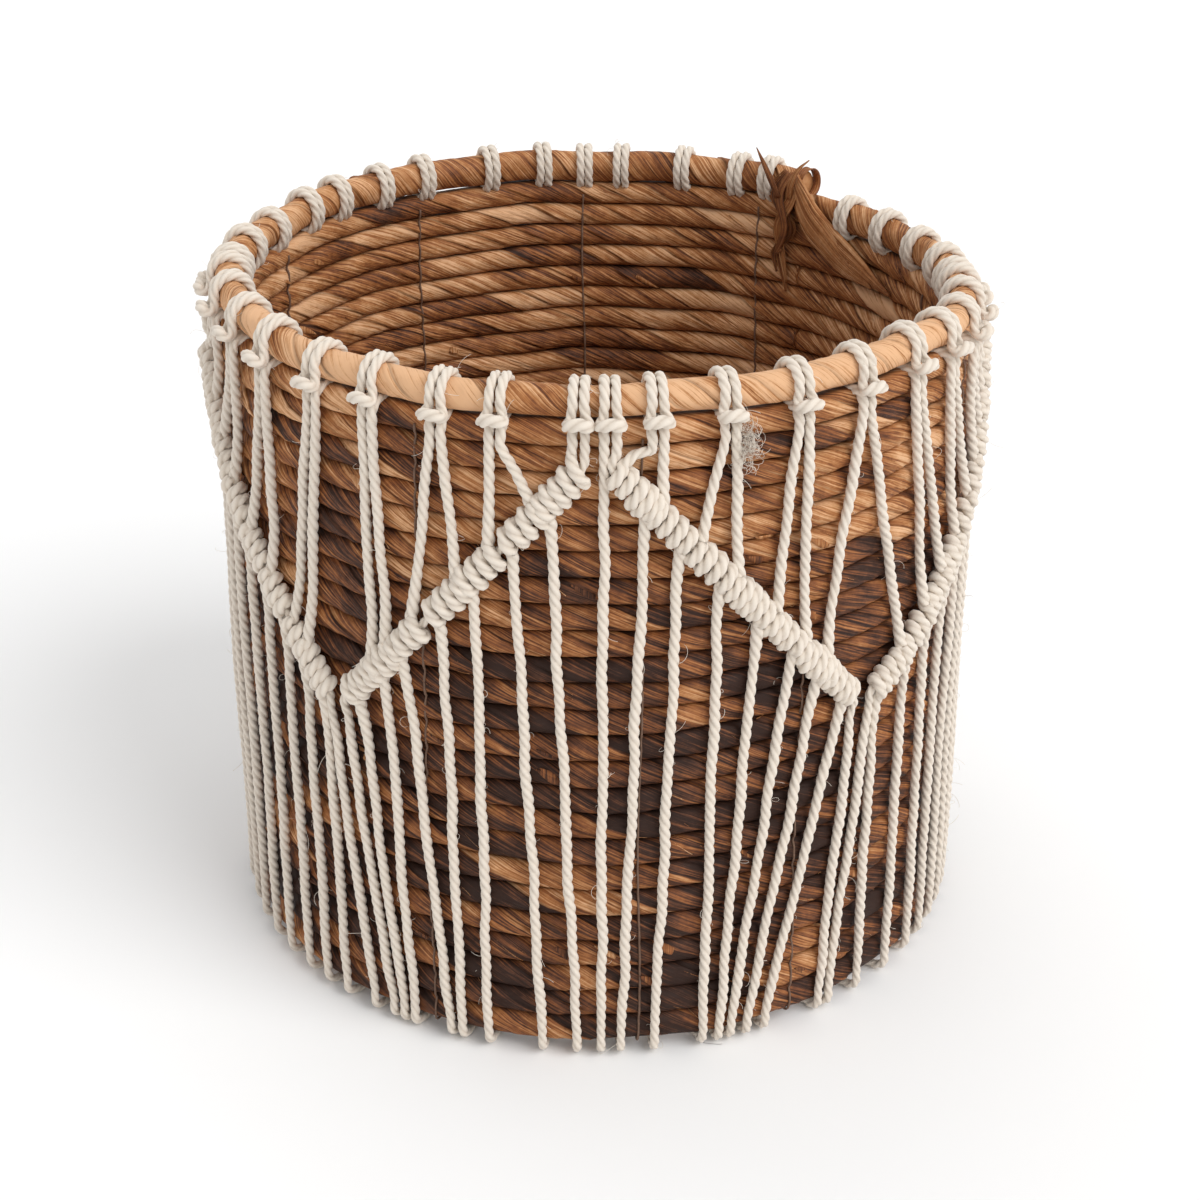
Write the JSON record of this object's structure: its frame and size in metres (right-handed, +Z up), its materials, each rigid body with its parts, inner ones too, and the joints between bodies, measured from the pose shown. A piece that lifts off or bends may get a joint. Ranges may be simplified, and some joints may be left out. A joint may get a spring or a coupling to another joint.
{
  "type": "planter basket",
  "caption": "Round free-standing planter basket of coiled twisted leaf rope, dressed outside with knotted cotton macrame cords tied in a zigzag band.",
  "frame": {"origin": "middle of the underside, on the surface that the basket stands on", "axes": "+Z up along the basket's axis, -Y the front where two knots meet at a peak of the band, +X to the right"},
  "size_m": [0.3248, 0.3248, 0.294],
  "materials": {
    "leaf_rope": "twisted dry leaf rope, fibrous, dull with a slight waxy sheen",
    "leaf_end": "flat dry leaf, ribbed, dull",
    "binding_thread": "thin waxed sewing thread, matt",
    "cotton_cord": "twisted natural cotton, matt with loose fibres"
  },
  "bodies": {
    "root": {"base_coil": "leaf_rope", "wall_rope_1": "leaf_rope", "wall_rope_2": "leaf_rope", "wall_rope_3": "leaf_rope", "wall_rope_4": "leaf_rope", "wall_rope_5": "leaf_rope", "wall_rope_6": "leaf_rope", "wall_rope_7": "leaf_rope", "wall_rope_8": "leaf_rope", "rim_rope": "leaf_rope", "rim_tail": "leaf_end", "splice_bunch": "leaf_end", "binding_thread_01": "binding_thread", "binding_thread_02": "binding_thread", "binding_thread_03": "binding_thread", "binding_thread_04": "binding_thread", "binding_thread_05": "binding_thread", "binding_thread_06": "binding_thread", "binding_thread_07": "binding_thread", "binding_thread_08": "binding_thread", "binding_thread_09": "binding_thread", "binding_thread_10": "binding_thread", "cord_01": "cotton_cord", "cord_02": "cotton_cord", "cord_03": "cotton_cord", "cord_04": "cotton_cord", "cord_05": "cotton_cord", "cord_06": "cotton_cord", "cord_07": "cotton_cord", "cord_08": "cotton_cord", "cord_09": "cotton_cord", "cord_10": "cotton_cord", "cord_11": "cotton_cord", "cord_12": "cotton_cord", "cord_13": "cotton_cord", "cord_14": "cotton_cord", "cord_15": "cotton_cord", "cord_16": "cotton_cord", "cord_17": "cotton_cord", "cord_18": "cotton_cord", "cord_19": "cotton_cord", "cord_20": "cotton_cord", "cord_21": "cotton_cord", "cord_22": "cotton_cord", "cord_23": "cotton_cord", "cord_24": "cotton_cord", "cord_25": "cotton_cord", "cord_26": "cotton_cord", "cord_27": "cotton_cord", "cord_28": "cotton_cord", "cord_29": "cotton_cord", "cord_30": "cotton_cord", "cord_31": "cotton_cord", "cord_32": "cotton_cord", "cord_33": "cotton_cord", "cord_34": "cotton_cord", "cord_35": "cotton_cord", "cord_36": "cotton_cord", "cord_37": "cotton_cord", "cord_38": "cotton_cord"}
  },
  "joints": []
}
